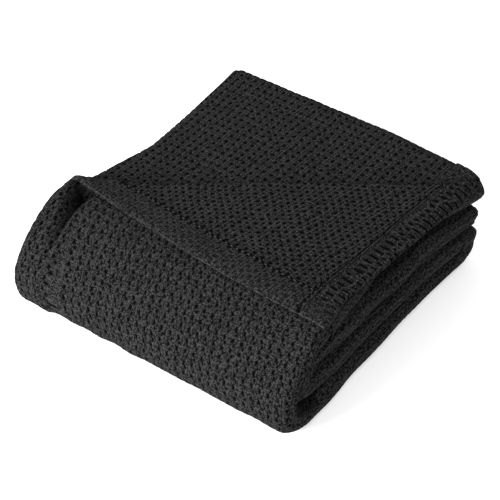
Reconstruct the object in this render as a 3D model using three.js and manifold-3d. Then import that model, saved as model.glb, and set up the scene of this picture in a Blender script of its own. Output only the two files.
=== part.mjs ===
// A cotton basket-weave blanket, folded flat into a square stack. Millimetres, +Z up.
// It is one sheet of cloth. Six layers side by side make a strip, and the strip runs back and forth
// four times: along the top, round the front, along the floor, round the back and in between again.
// The outermost layer's corner is turned back over the top along the diagonal.
// +X runs from the hemmed left end to the folded right end, +Y from the front to the back.

import * as THREE from "three";
import { mergeVertices } from "three/addons/utils/BufferGeometryUtils.js";
import Module from "manifold-3d";

// Cloth
const CLOTH = 3; // thickness of one layer
const PITCH = 4.8; // from the middle of one layer to the middle of the next
const LAYERS = 6; // layers in the strip, 1 is the outermost
const HEM_WIDTH = 40;
const HEM_RISE = 1.6; // how far the doubled edge stands above the cloth
const END_HEM_RISE = 0.4; // the same on the strip's two ends, where the layers lie close

// Folded stack
const WIDTH = 378;
const DEPTH = 404;
const STRIP = (LAYERS - 1) * PITCH + CLOTH;
const REST_GAP = 2.5; // between two runs of the strip
const HOLE_FRONT = 11; // height of the hollow inside the inner turn
const HOLE_BACK = 6; // and how far it has closed at the back
const INNER_TURN_SETBACK = 4; // the inner turn stops short of the outer turn

const Z_FLOOR_RUN = STRIP / 2;
const Z_LOWER_RUN = Z_FLOOR_RUN + STRIP + REST_GAP;
const Z_UPPER_RUN = Z_LOWER_RUN + STRIP + HOLE_BACK;
const Z_TOP_RUN = Z_UPPER_RUN + STRIP + REST_GAP;
const STACK_TOP = Z_TOP_RUN + STRIP / 2;
const Z_MIDDLE = (Z_TOP_RUN + Z_FLOOR_RUN) / 2;
const OUTER_RADIUS = (Z_TOP_RUN - Z_FLOOR_RUN) / 2;
const INNER_RADIUS = (STRIP + HOLE_FRONT) / 2;
const BACK_RADIUS = (Z_LOWER_RUN - Z_FLOOR_RUN) / 2;
const Y_OUTER_TURN = OUTER_RADIUS + STRIP / 2;
const Y_INNER_TURN = Y_OUTER_TURN + INNER_TURN_SETBACK;
const Y_BACK_TURN = DEPTH - 38;

// The strip's route in the YZ plane, run by run and turn by turn. Headings are degrees from +Y
// towards +Z; left and right are the strip's two edges at the end of each row.
const ROUTE = [
  { y: DEPTH + 4, z: Z_TOP_RUN, heading: 180, left: -8, right: WIDTH - 12, steps: 1 },
  { y: DEPTH + 4 - HEM_WIDTH, z: Z_TOP_RUN, heading: 180, left: -6, right: WIDTH - 4, steps: 1 },
  { y: DEPTH / 2, z: Z_TOP_RUN, heading: 180, left: 0, right: WIDTH - 2, steps: 3 },
  { y: Y_OUTER_TURN, z: Z_TOP_RUN, heading: 180, left: -22, right: WIDTH - 3, steps: 3 },
  { y: Y_OUTER_TURN, z: Z_FLOOR_RUN, heading: 360, left: -2, right: WIDTH + 1, steps: 8, radius: OUTER_RADIUS },
  { y: Y_BACK_TURN, z: Z_FLOOR_RUN, heading: 360, left: 2, right: WIDTH - 6, steps: 5 },
  { y: Y_BACK_TURN, z: Z_LOWER_RUN, heading: 540, left: 3, right: WIDTH - 5, steps: 6, radius: BACK_RADIUS },
  { y: Y_INNER_TURN, z: Z_MIDDLE - INNER_RADIUS, heading: 540, left: 5, right: WIDTH - 5, steps: 5 },
  { y: Y_INNER_TURN, z: Z_MIDDLE + INNER_RADIUS, heading: 360, left: 6, right: WIDTH - 4, steps: 7, radius: INNER_RADIUS },
  { y: DEPTH - 6 - HEM_WIDTH, z: Z_UPPER_RUN, heading: 360, left: 2, right: WIDTH - 5, steps: 4 },
  { y: DEPTH - 6, z: Z_UPPER_RUN, heading: 360, left: 2, right: WIDTH - 4, steps: 1 },
];

// The sheet's own route across the strip: from the hem of layer 1 through five folds to the hem of
// layer 4. Each row is a fold from one layer to another, at the right or the left edge.
const FOLDS = [
  { from: 1, to: 6, side: "right", steps: 6 },
  { from: 6, to: 5, side: "left", steps: 3 },
  { from: 5, to: 2, side: "right", steps: 5 },
  { from: 2, to: 3, side: "left", steps: 3 },
  { from: 3, to: 4, side: "right", steps: 4 },
];
const INNER_HEM_INSET = 9; // the other hem stops short of the outermost one
const LEFT_FOLD_INSET = 1; // so do the folds at that end
const ACROSS = [41, 105, 195, 290]; // where each layer has points, from the left edge
const HEM_STEP = 2.5; // the hem rises to its height over this width

// The turned-back corner
const CREASE_LEFT = { x: -22, y: Y_OUTER_TURN - 1 };
const CREASE_RIGHT = { x: WIDTH - 12, y: DEPTH - 12 };
const TIP = { x: WIDTH + 1, y: 40 };
const FRONT_BOW = 7; // the flap's front hem bows forward between its ends
const CREASE_RADIUS = PITCH / 2;
const CREASE_PUFF = 3.4; // added radius where the crease meets the left hem
const PUFF_REACH = 75;
const CREASE_SEAT = 8; // length of the crease's lower leg, which runs into layer 1
const SEAT_START = 4; // layer 1 ends this far inside the crease
const SEAT_SLACK = 0.4; // the leg is this much thinner on each side, inside layer 1
const TIP_DROOP = 4; // the right hem hangs down past the stack's edge
const CREASE_ENDS = { left: 17, right: 15 }; // where the turned corner's body starts and stops
const FLAP_COLUMNS = 20;
const FLAP_ARC_STEPS = 5;
const FLAP_ROWS = 4;

// How the stack settles: it leans back from the front, and is uneven
const LEAN = { left: 74, right: 53, power: 1.5, fade: 1.2 };
const LEFT_NOSE = 24; // the front's left end stands forward of its right end
const TOP_INSET = 11; // the right end's top corner lies inside its bottom corner
const LEFT_SAG = { depth: 7, reach: 170 }; // the top's left edge sags between its corners
const CROWN = 2.5;
const RIPPLE = { height: 1.1, reachX: 52, reachY: 41, shift: 0.8 };
const BACK_RISE = { left: 7, right: 8 };
const BACK_BOW = { depth: 7, swing: 2.4 }; // the top's back edge bows out, most towards the right
const TOE = 9; // the front's foot stands forward

const mix = THREE.MathUtils.lerp;
const radians = THREE.MathUtils.degToRad;

// Offset of a layer's middle from the strip's middle, positive on the outer side.
const layerOffset = (layer) => ((LAYERS + 1) / 2 - layer) * PITCH;

// Where the outermost layer ends at depth y on top: at its hem, or just inside the diagonal crease.
function outerEdgeOnTop(y, left, right) {
  const share = (y - CREASE_LEFT.y) / (CREASE_RIGHT.y - CREASE_LEFT.y);
  const crease = mix(CREASE_LEFT.x, CREASE_RIGHT.x, share);
  const seat = SEAT_START / Math.sin(Math.atan2(CREASE_RIGHT.y - CREASE_LEFT.y, CREASE_RIGHT.x - CREASE_LEFT.x));
  return THREE.MathUtils.clamp(crease + seat, left, right - STRIP);
}

// Stations along the strip, each with its place, its outward normal and its two edges.
function stripStations() {
  const stations = [];
  ROUTE.forEach((row, index) => {
    const before = ROUTE[Math.max(index - 1, 0)];
    for (let step = 1; step <= row.steps; step++) {
      const share = index === 0 ? 1 : step / row.steps;
      const heading = radians(mix(before.heading, row.heading, share));
      const normal = new THREE.Vector2(Math.sin(heading), -Math.cos(heading));
      let place;
      if (row.radius) {
        const turn = Math.sign(row.heading - before.heading);
        const centre = new THREE.Vector2(row.y, (before.z + row.z) / 2);
        place = centre.addScaledVector(normal, turn * row.radius);
      } else {
        place = new THREE.Vector2(mix(before.y, row.y, share), mix(before.z, row.z, share));
      }
      const left = mix(before.left, row.left, share);
      const right = mix(before.right, row.right, share);
      const onTop = row.z === Z_TOP_RUN;
      const onFront = place.x <= Y_OUTER_TURN && place.y > Z_FLOOR_RUN + PITCH;
      stations.push({
        place,
        normal,
        left,
        right,
        outerEdge: onTop ? outerEdgeOnTop(place.x, left, right) : left,
        endHem: index <= 1 || index >= ROUTE.length - 2 ? END_HEM_RISE : 0,
        sideHem: onFront ? HEM_RISE : 0,
      });
    }
  });
  return stations;
}

// The sheet's middle line across the strip at one station: points with a normal and a half thickness
// on each side. x is across the stack and n is along the strip's own normal.
function sheetLine(station) {
  const { left, right, outerEdge, endHem, sideHem } = station;
  const half = CLOTH / 2 + endHem;
  const line = [];
  const add = (x, n, angle, above = half) =>
    line.push({ x, n, nx: -Math.sin(angle), nn: Math.cos(angle), above, below: half });
  const onLayer = (layer, towardsRight) => {
    const angle = towardsRight ? 0 : Math.PI;
    const xs = towardsRight ? ACROSS : [...ACROSS].reverse();
    xs.forEach((x) => add(left + x, layerOffset(layer), angle));
  };
  const hemTop = half + sideHem;
  const outerShare = (right - outerEdge) / (right - left);
  add(outerEdge, layerOffset(1), 0, hemTop);
  add(outerEdge + (HEM_WIDTH - HEM_STEP) * outerShare, layerOffset(1), 0, hemTop);
  ACROSS.forEach((x) => add(outerEdge + x * outerShare, layerOffset(1), 0));
  FOLDS.forEach((fold, index) => {
    const start = layerOffset(fold.from);
    const end = layerOffset(fold.to);
    const radius = Math.abs(end - start) / 2;
    const onRight = fold.side === "right";
    const outerRadius = onRight ? Math.abs(layerOffset(1) - layerOffset(LAYERS)) / 2 : radius;
    const edge = onRight ? right : left + LEFT_FOLD_INSET;
    const centreX = edge + (onRight ? -1 : 1) * (outerRadius + CLOTH / 2);
    const out = onRight ? 1 : -1;
    for (let step = 0; step <= fold.steps; step++) {
      const swing = (Math.PI * step) / fold.steps;
      const x = centreX + out * radius * Math.sin(swing);
      const n = (start + end) / 2 + ((start - end) / 2) * Math.cos(swing);
      const turn = Math.sign(end - start) * out;
      add(x, n, (onRight ? 0 : Math.PI) + turn * swing);
    }
    onLayer(fold.to, !onRight);
    if (index === FOLDS.length - 1) add(left + INNER_HEM_INSET, end, Math.PI);
  });
  return line;
}

// A closed body from rows of points, each row a ribbon's section with its two sides. The rows go on
// to the left of a reader who stands on the ribbon's upper side and looks from its start to its end.
function ribbonBody(rows) {
  const count = rows[0].above.length;
  const outline = rows.map((row) => [...row.above, ...[...row.below].reverse()]);
  const positions = outline.flat().flatMap((p) => [p.x, p.y, p.z]);
  const ring = 2 * count;
  const index = [];
  for (let r = 0; r + 1 < rows.length; r++) {
    for (let i = 0; i < ring; i++) {
      const a = r * ring + i;
      const b = r * ring + ((i + 1) % ring);
      index.push(a, b, a + ring, b, b + ring, a + ring);
    }
  }
  [0, rows.length - 1].forEach((r) => {
    for (let i = 0; i + 1 < count; i++) {
      const a = r * ring + i;
      const c = r * ring + ring - 1 - i;
      const caps = [a, c, a + 1, c, c - 1, a + 1];
      index.push(...(r === 0 ? caps : caps.reverse()));
    }
  });
  const geometry = new THREE.BufferGeometry();
  geometry.setAttribute("position", new THREE.Float32BufferAttribute(positions, 3));
  geometry.setIndex(index);
  return geometry;
}

// The whole folded strip, before it settles.
function foldedStrip() {
  const stations = stripStations().reverse();
  const rows = stations.map((station) => {
    const at = (x, n) =>
      new THREE.Vector3(x, station.place.x + n * station.normal.x, station.place.y + n * station.normal.y);
    const line = sheetLine(station);
    return {
      above: line.map((p) => at(p.x + p.nx * p.above, p.n + p.nn * p.above)),
      below: line.map((p) => at(p.x - p.nx * p.below, p.n - p.nn * p.below)),
    };
  });
  return ribbonBody(rows);
}

// The crease's own axes: s runs along it from left to right, q runs from it towards the tip.
const creaseStart = new THREE.Vector2(CREASE_LEFT.x, CREASE_LEFT.y);
const creaseSpan = new THREE.Vector2(CREASE_RIGHT.x, CREASE_RIGHT.y).sub(creaseStart);
const CREASE_LENGTH = creaseSpan.length();
const alongCrease = creaseSpan.clone().normalize();
const towardsTip = new THREE.Vector2(alongCrease.y, -alongCrease.x);
const tipFromStart = new THREE.Vector2(TIP.x, TIP.y).sub(creaseStart);
const TIP_S = tipFromStart.dot(alongCrease);
const TIP_Q = tipFromStart.dot(towardsTip);

// Width of the flap at s, and how much of it the hem takes, both measured along q.
function flapWidth(s) {
  if (s > TIP_S) return (TIP_Q * (CREASE_LENGTH - s)) / (CREASE_LENGTH - TIP_S);
  return (TIP_Q * s) / TIP_S + FRONT_BOW * Math.sin((Math.PI * s) / TIP_S);
}

function hemAlongQ(s) {
  const run = s < TIP_S ? TIP_S : CREASE_LENGTH - TIP_S;
  return HEM_WIDTH / (run / Math.hypot(run, TIP_Q));
}

const puff = (distance) => CREASE_PUFF * Math.exp(-((distance / PUFF_REACH) ** 2));

// Height of the stack's top skin, lifted by some clearance, over the flat and round the front turn.
function skinHeight(y, lift) {
  const radius = STACK_TOP - Z_MIDDLE + lift;
  const past = Math.max(0, Y_OUTER_TURN - y);
  return Z_MIDDLE + Math.sqrt(radius * radius - past * past);
}

// One column of the flap at s: the seat in layer 1, the rounded crease, the flap and its hem.
function flapColumn(s) {
  const radius = CREASE_RADIUS + puff(s);
  const bottom = STACK_TOP - CLOTH / 2;
  const width = flapWidth(s);
  const hemStart = Math.max(width - hemAlongQ(s), radius + 2 * HEM_STEP);
  const above = [];
  const below = [];
  const place = (q, z) => {
    const xy = creaseStart.clone().addScaledVector(alongCrease, s).addScaledVector(towardsTip, q);
    return new THREE.Vector3(xy.x, xy.y, z(xy));
  };
  const add = (q, z, angle, top, under) => {
    above.push(place(q + Math.sin(angle) * top, (xy) => z(xy) - Math.cos(angle) * top));
    below.push(place(q - Math.sin(angle) * under, (xy) => z(xy) + Math.cos(angle) * under));
  };
  const seat = CLOTH / 2 - SEAT_SLACK;
  add(radius + CREASE_SEAT, () => bottom, 0, seat, seat);
  for (let step = 0; step <= FLAP_ARC_STEPS; step++) {
    const swing = (Math.PI * step) / FLAP_ARC_STEPS;
    const z = bottom + radius * (1 - Math.cos(swing));
    add(radius - radius * Math.sin(swing), () => z, -swing, CLOTH / 2, CLOTH / 2);
  }
  const onTop = (q, rise) => {
    const z = (xy) => {
      const fromStart = xy.distanceTo(creaseStart);
      const lift = 2 * (CREASE_RADIUS + puff(fromStart)) - CLOTH / 2;
      const past = Math.max(0, xy.x - (WIDTH - STRIP / 2));
      return skinHeight(xy.y, lift) - TIP_DROOP * (past / (STRIP / 2)) ** 2;
    };
    add(q, z, Math.PI, CLOTH / 2 + rise, CLOTH / 2);
  };
  for (let row = 1; row <= FLAP_ROWS; row++) {
    onTop(mix(radius, hemStart - HEM_STEP, row / FLAP_ROWS), 0);
  }
  onTop(hemStart, HEM_RISE);
  onTop(mix(hemStart, width, 0.5), HEM_RISE);
  onTop(width, HEM_RISE);
  return { above, below };
}

// The turned-back corner, before it settles.
function turnedCorner() {
  const firstS = CREASE_ENDS.left;
  const lastS = CREASE_LENGTH - CREASE_ENDS.right;
  const stops = [];
  for (let column = 0; column <= FLAP_COLUMNS; column++) {
    const share = column / FLAP_COLUMNS;
    stops.push(mix(firstS, lastS, share));
  }
  const nearest = stops.reduce((best, s) => (Math.abs(s - TIP_S) < Math.abs(best - TIP_S) ? s : best));
  stops[stops.indexOf(nearest)] = TIP_S;
  return ribbonBody(stops.map(flapColumn));
}

// The stack leans back from the front, sags at its left edge and is a little uneven. The floor side
// stays flat.
function settle(p) {
  const up = p.z / STACK_TOP;
  const across = p.x / WIDTH;
  const toFront = Math.max(0, 1 - p.y / DEPTH);
  const lean = mix(LEAN.left, LEAN.right, across) * Math.max(up, 0) ** LEAN.power;
  const nose = LEFT_NOSE * (1 - across) * toFront ** 2;
  const toe = TOE * Math.max(1 - up, 0) * toFront ** 3;
  const toBack = (p.y / DEPTH) ** 2;
  const bow = BACK_BOW.depth * up * Math.sin(BACK_BOW.swing * across) * toBack;
  const y = p.y + lean * toFront ** LEAN.fade - nose - toe + bow;
  const x = p.x - TOP_INSET * up * across * toFront;
  const alongY = Math.sin(Math.PI * THREE.MathUtils.clamp(p.y / DEPTH, 0, 1));
  const sag = LEFT_SAG.depth * Math.exp(-((p.x / LEFT_SAG.reach) ** 2)) * alongY;
  const crown = CROWN * Math.sin(Math.PI * THREE.MathUtils.clamp(across, 0, 1)) * alongY;
  const wave = Math.sin(p.x / RIPPLE.reachX) * Math.sin(p.y / RIPPLE.reachY + RIPPLE.shift);
  const rise = mix(BACK_RISE.left, BACK_RISE.right, across) * toBack;
  const z = p.z + up * (crown + rise + RIPPLE.height * wave - sag);
  return p.set(x, y, z);
}

// Settles every point of a body.
function settled(geometry) {
  const position = geometry.getAttribute("position");
  const p = new THREE.Vector3();
  for (let i = 0; i < position.count; i++) {
    settle(p.fromBufferAttribute(position, i));
    position.setXYZ(i, p.x, p.y, p.z);
  }
  return geometry;
}

const wasm = await Module();
wasm.setup();

function toSolid(geometry) {
  const merged = mergeVertices(geometry, 1e-4);
  const mesh = new wasm.Mesh({
    numProp: 3,
    vertProperties: new Float32Array(merged.getAttribute("position").array),
    triVerts: new Uint32Array(merged.getIndex().array),
  });
  return new wasm.Manifold(mesh);
}

function toGeometry(solid) {
  const mesh = solid.getMesh();
  const geometry = new THREE.BufferGeometry();
  geometry.setAttribute("position", new THREE.Float32BufferAttribute(mesh.vertProperties, 3));
  geometry.setIndex([...mesh.triVerts]);
  return geometry;
}

const strip = toSolid(settled(foldedStrip()));
const corner = toSolid(settled(turnedCorner()));
const sheet = toGeometry(strip.add(corner));

// The origin is under the middle of the folded blanket.
sheet.computeBoundingBox();
const middle = sheet.boundingBox.getCenter(new THREE.Vector3());
sheet.translate(-middle.x, -middle.y, -sheet.boundingBox.min.z);
sheet.computeVertexNormals();

const cotton = new THREE.MeshStandardMaterial({ color: 0x2b2b2d, roughness: 0.95, metalness: 0 });
const blanket = new THREE.Mesh(sheet, cotton);
blanket.name = "blanket";

const foldedBlanket = new THREE.Group();
foldedBlanket.add(blanket);

export default foldedBlanket;
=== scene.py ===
# %% [markdown]
# A folded cotton blanket. The imported model is loaded first, because every piece stands in its frame.

import math

import bpy
import numpy as np
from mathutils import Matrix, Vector


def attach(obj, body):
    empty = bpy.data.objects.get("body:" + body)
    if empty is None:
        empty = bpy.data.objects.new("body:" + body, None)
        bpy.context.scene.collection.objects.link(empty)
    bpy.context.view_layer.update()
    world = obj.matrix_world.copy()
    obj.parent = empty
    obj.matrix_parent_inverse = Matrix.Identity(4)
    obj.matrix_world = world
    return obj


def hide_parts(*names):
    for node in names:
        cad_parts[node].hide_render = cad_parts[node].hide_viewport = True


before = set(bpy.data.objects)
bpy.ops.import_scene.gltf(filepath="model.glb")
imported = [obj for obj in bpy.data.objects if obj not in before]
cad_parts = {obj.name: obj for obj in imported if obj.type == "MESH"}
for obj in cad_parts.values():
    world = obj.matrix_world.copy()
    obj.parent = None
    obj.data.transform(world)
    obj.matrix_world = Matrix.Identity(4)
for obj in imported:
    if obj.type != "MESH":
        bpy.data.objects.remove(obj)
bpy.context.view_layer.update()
MM = 0.001

# %% [markdown]
# The blanket is one sheet, folded in six layers to a strip, and the strip goes back and forth four
# times. These are the sizes of the cloth and of the stack, in millimetres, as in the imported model.

# %% Sizes of the cloth and the stack
CLOTH = 3.0
PITCH = 4.8
LAYERS = 6
HEM = 38.0
HEM_RISE = 1.5
WIDTH = 378.0
DEPTH = 404.0
STRIP = (LAYERS - 1) * PITCH + CLOTH
REST_GAP = 2.5
HOLE_FRONT = 11.0
HOLE_BACK = 6.0
Z_FLOOR = STRIP / 2
Z_LOWER = Z_FLOOR + STRIP + REST_GAP
Z_UPPER = Z_LOWER + STRIP + HOLE_BACK
Z_TOP = Z_UPPER + STRIP + REST_GAP
STACK_TOP = Z_TOP + STRIP / 2
Z_MIDDLE = (Z_TOP + Z_FLOOR) / 2
OUTER_RADIUS = (Z_TOP - Z_FLOOR) / 2
INNER_RADIUS = (STRIP + HOLE_FRONT) / 2
BACK_RADIUS = (Z_LOWER - Z_FLOOR) / 2
Y_FRONT = OUTER_RADIUS + STRIP / 2
Y_INNER = Y_FRONT + 4
Y_BACK = DEPTH - 38
OUTERMOST = (LAYERS - 1) / 2 * PITCH
ORIGIN = np.array([178.93, 199.87, 0.0])
print("strip", STRIP, "mm thick, stack", STACK_TOP, "mm high before it settles")

# %% [markdown]
# A strip that runs back and forth is easiest to draw as a route seen from the side: straight runs and
# half turns. Each stop on the route has a place, the direction that the outermost layer faces, and the
# strip's left and right edges. The real stack leans back and sags, so every point is settled last.

# %% The strip's route
ROUTE = [
    dict(y=DEPTH + 4, z=Z_TOP, heading=180, left=-8, right=WIDTH - 7),
    dict(y=DEPTH + 4 - HEM, z=Z_TOP, heading=180, left=-6, right=WIDTH - 10),
    dict(y=DEPTH / 2, z=Z_TOP, heading=180, left=0, right=WIDTH - 18),
    dict(y=Y_FRONT, z=Z_TOP, heading=180, left=-22, right=WIDTH + 1),
    dict(y=Y_FRONT, z=Z_FLOOR, heading=360, left=-2, right=WIDTH + 1, radius=OUTER_RADIUS),
    dict(y=Y_BACK, z=Z_FLOOR, heading=360, left=2, right=WIDTH - 6),
    dict(y=Y_BACK, z=Z_LOWER, heading=540, left=3, right=WIDTH - 5, radius=BACK_RADIUS),
    dict(y=Y_INNER, z=Z_MIDDLE - INNER_RADIUS, heading=540, left=5, right=WIDTH - 5),
    dict(y=Y_INNER, z=Z_MIDDLE + INNER_RADIUS, heading=360, left=6, right=WIDTH - 4, radius=INNER_RADIUS),
    dict(y=DEPTH - 6 - HEM, z=Z_UPPER, heading=360, left=2, right=WIDTH - 5),
    dict(y=DEPTH - 6, z=Z_UPPER, heading=360, left=2, right=WIDTH - 4),
]
TOP_BACK, _, TOP_MIDDLE, TOP_FRONT, FLOOR_FRONT, FLOOR_BACK = range(6)
LOWER_BACK, LOWER_FRONT, UPPER_BACK = 6, 7, len(ROUTE) - 1
Y, Z, FACE_Y, FACE_Z, LEFT, RIGHT, DOWN = range(7)
FRONT_LENGTH = 210.0
FAR = 1000.0


def leg(start, end, step):
    """Stops from one row of the route to the next, without its start."""
    if "radius" in end:
        side = np.sign(end["heading"] - start["heading"])
        count = math.ceil(math.pi * (end["radius"] + STRIP / 2) / step)
        share = np.arange(1, count + 1) / count
        heading = np.radians(start["heading"] + (end["heading"] - start["heading"]) * share)
        face_y, face_z = np.sin(heading), -np.cos(heading)
        y = end["y"] + face_y * side * end["radius"]
        z = (start["z"] + end["z"]) / 2 + face_z * side * end["radius"]
    else:
        count = math.ceil(math.hypot(end["y"] - start["y"], end["z"] - start["z"]) / step)
        share = np.arange(1, count + 1) / count
        heading = math.radians(end["heading"])
        face_y, face_z = np.full(count, math.sin(heading)), np.full(count, -math.cos(heading))
        y = start["y"] + (end["y"] - start["y"]) * share
        z = start["z"] + (end["z"] - start["z"]) * share
    left = start["left"] + (end["left"] - start["left"]) * share
    right = start["right"] + (end["right"] - start["right"]) * share
    down = np.full(count, FAR)
    if end["z"] == Z_TOP:
        down = Y_FRONT - y
    elif start["z"] == Z_TOP:
        down = FRONT_LENGTH * share
    return np.stack([y, z, face_y, face_z, left, right, down], -1)


def route(first, last, step):
    """Stops from one row of the route to another, about a step apart on the outermost layer. A stop's
    last number is how far down the front it lies: less than 0 on the top run, and FAR past the front."""
    start = ROUTE[first]
    heading = math.radians(start["heading"])
    face = [math.sin(heading), -math.cos(heading)]
    down = FAR
    if first <= TOP_FRONT:
        down = Y_FRONT - start["y"]
    elif first == FLOOR_FRONT:
        down = FRONT_LENGTH
    stops = [[[start["y"], start["z"], *face, start["left"], start["right"], down]]]
    for row in range(first, last):
        stops.append(leg(ROUTE[row], ROUTE[row + 1], step))
    return np.concatenate(stops)


print("the route has", len(ROUTE) - 1, "legs, straight runs and half turns")

# %% [markdown]
# A heavy folded stack never stands straight. The real one leans back at its top, sags at the left hems
# and hangs down at its back right corner. A lattice modifier could bend the pieces after they are made.
# A formula for every point is surer, because layers that touch then move nearly alike.


# %% How the stack leans and sags
def smooth(low, high, value):
    """0 below low, 1 above high, and a soft step between."""
    share = np.clip((value - low) / (high - low), 0, 1)
    return share * share * (3 - 2 * share)


def ridge(distance, half_width):
    """1 on a line and 0 away from it."""
    return np.exp(-((distance / half_width) ** 2))


LEAN = 74
LEAN_LESS_AT_RIGHT = 21
LEFT_NOSE = 24
TOE = 9
BACK_BOW = 7
LEFT_SAG = 7
SAG_REACH = 170
CROWN = 2.5
RIPPLE = 1.1
BACK_RISE = 7
TOP_INSET = 11
HEEL_RIGHT = 7
HEEL_BACK = 10
LOBES = ((0.42, 0.08, 0.7), (0.83, 0.13, 0.85))
CORNER_HANG = 3
CORNER_BELLY = 10
DIPS = ((0.74, 0.09, 8), (0.56, 0.06, 7), (0.43, 0.08, -6))


def bumps(up, rows):
    """Bumps over the height. A row has a share of the height, a half width and how much it adds."""
    return sum(amount * ridge(up - height, half_width) for height, half_width, amount in rows)


def settle(points):
    """Leans and sags the stack, and puts its origin under its middle. At the back right corner the runs
    reach out by heel and hang down by dip."""
    x, y, z = points[..., 0], points[..., 1], points[..., 2]
    up = z / STACK_TOP
    across = x / WIDTH
    to_front = np.maximum(0, 1 - y / DEPTH)
    to_back = (y / DEPTH) ** 2
    lean = (LEAN - LEAN_LESS_AT_RIGHT * across) * np.maximum(up, 0) ** 1.5
    nose = LEFT_NOSE * (1 - across) * to_front**2
    toe = TOE * np.maximum(1 - up, 0) * to_front**3
    bow = BACK_BOW * up * np.sin(2.4 * across) * to_back
    along_y = np.sin(np.pi * np.clip(y / DEPTH, 0, 1))
    sag = LEFT_SAG * np.exp(-((x / SAG_REACH) ** 2)) * along_y
    crown = CROWN * np.sin(np.pi * np.clip(across, 0, 1)) * along_y
    ripple = RIPPLE * np.sin(x / 52) * np.sin(y / 41 + 0.8)
    rise = (BACK_RISE + across) * to_back
    corner = smooth(0.6, 1, across) * smooth(0.7, 1, y / DEPTH)
    heel = corner * (1 - smooth(0.44, 0.62, up) + bumps(up, LOBES))
    belly = CORNER_BELLY * np.sin(np.pi * np.clip((up - 0.1) / 0.95, 0, 1))
    dip = corner * (CORNER_HANG * np.clip(up, 0, 1) + belly + bumps(up, DIPS))
    settled = np.stack(
        [
            x - TOP_INSET * up * across * to_front + HEEL_RIGHT * heel,
            y + lean * to_front**1.2 - nose - toe + bow + HEEL_BACK * heel,
            z + up * (crown + rise + ripple - sag) - dip,
        ],
        -1,
    )
    return settled - ORIGIN


front_lean = settle(np.array([0, 0, STACK_TOP]))[1] - settle(np.array([0, 0, 0]))[1]
print("the front leans back by", round(front_lean), "mm at its left end")

# %% [markdown]
# The outer layers aren't flat. Below the crease the left hem stands off the front round a dark cup, whose
# darkness is partly painted shade in the front's colour, and under the right hem the top run has a long
# hollow. Sculpting could carve both. Here a point's place on the strip says how far it moves, so that the
# inner layers follow in proportion and nothing tears.

# %% The cup, the hollow and the back corners
CREASE_LEFT = np.array([-22.0, Y_FRONT - 1])
CREASE_RIGHT = np.array([WIDTH + 13, DEPTH - 14])
crease_length = np.linalg.norm(CREASE_RIGHT - CREASE_LEFT)
along_crease = (CREASE_RIGHT - CREASE_LEFT) / crease_length
towards_tip = np.array([along_crease[1], -along_crease[0]])
LEFT_HEM_OUT = 6.5
LEFT_HEM_IN = 4.0
CUP_DEPTH = 19.0
CUP_INNER = 36.0
UNDER_HEM_DEPTH = 10.0
UNDER_HEM_INSET = 12.0
UNDER_HEM_Y = 190.0
UNDER_HEM_REACH = 85.0
RIM_LIFT = 6.0
BACK_LEFT_ROUND = 16.0
BACK_LEFT_CUT = 9.6
BACK_RIGHT_ROUND = 30.0
BACK_RIGHT_CUT = 9.0


def crease_distances(x, y):
    """Distance along the crease from its left end, and away from it towards the tip."""
    right, back = x - CREASE_LEFT[0], y - CREASE_LEFT[1]
    return (right * side[0] + back * side[1] for side in (along_crease, towards_tip))


def rim_lift(from_left, down):
    """How far the stiff left hem's edge stands off the front near the crease."""
    near_crease = smooth(-30, 40, down) * (1 - smooth(50, 110, down))
    return RIM_LIFT * (1 - smooth(0, 24, from_left)) * near_crease


def cup(from_left, from_crease, down):
    """Share of the cup's depth, between the left hem and the front's face below the crease."""
    start = 8 + 18 * smooth(0, 80, down)
    slope = np.clip((from_left - start) / (CUP_INNER - start), 0, 1) ** 1.2
    slope = slope * (1 - smooth(CUP_INNER, CUP_INNER + 4, from_left))
    return slope * smooth(0, 12, from_crease) * (1 - smooth(20, 110, down)) * (down > -60)


def round_back_corners(from_left, from_right, down):
    """How far the top run's back edge is drawn in at its two ends."""
    left = BACK_LEFT_CUT * np.clip((BACK_LEFT_ROUND - from_left) / BACK_LEFT_ROUND, 0, 1) ** 2
    right = BACK_RIGHT_CUT * np.clip((from_right + BACK_RIGHT_ROUND) / BACK_RIGHT_ROUND, 0, 1) ** 2
    return (left + right) * smooth(Y_FRONT - DEPTH + 40, Y_FRONT - DEPTH - 4, down)


def place(stops, x, n):
    """Settled points at x across the strip and n from its middle, one row for each stop. The front's
    left hem stands out to the left, and is hollow like a cup below the crease. Under the right hem the
    top run is let down and drawn in, and its back corners are rounded."""
    x, n = np.broadcast_arrays(x, n, np.empty((len(stops), 1)))[:2]
    down = stops[:, [DOWN]]
    from_left = x - stops[:, [LEFT]]
    from_right = x - stops[:, [RIGHT]]
    y = stops[:, [Y]] + n * stops[:, [FACE_Y]]
    _, from_crease = crease_distances(x, y)
    hem_out = LEFT_HEM_OUT * smooth(0, 40, down) * (1 - smooth(105, 140, down))
    hem_out = hem_out - LEFT_HEM_IN * smooth(130, 160, down) * (1 - smooth(185, 215, down))
    outer_share = np.clip((n + OUTERMOST) / (2 * OUTERMOST), 0, 1.1)
    under_hem = smooth(-45, -8, from_right) * ridge(y - UNDER_HEM_Y, UNDER_HEM_REACH) * (down < 0)
    lift = rim_lift(from_left, down) * smooth(8, 10, n)
    hollow = cup(from_left, from_crease, down)
    back_corner = round_back_corners(from_left, from_right, down)
    x = x - hem_out * (1 - smooth(HEM, 150, from_left)) - UNDER_HEM_INSET * under_hem * outer_share**1.5
    n = n + lift - (CUP_DEPTH * hollow + UNDER_HEM_DEPTH * under_hem) * outer_share
    y = stops[:, [Y]] + n * stops[:, [FACE_Y]] - back_corner
    z = stops[:, [Z]] + n * stops[:, [FACE_Z]]
    return settle(np.stack([x, y, z], -1))


def run_length(points):
    """Distance along a row of points, from the first one."""
    points = points.reshape(-1, points.shape[-1])
    return np.concatenate([[0], np.cumsum(np.linalg.norm(np.diff(points, axis=0), axis=1))])


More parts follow.
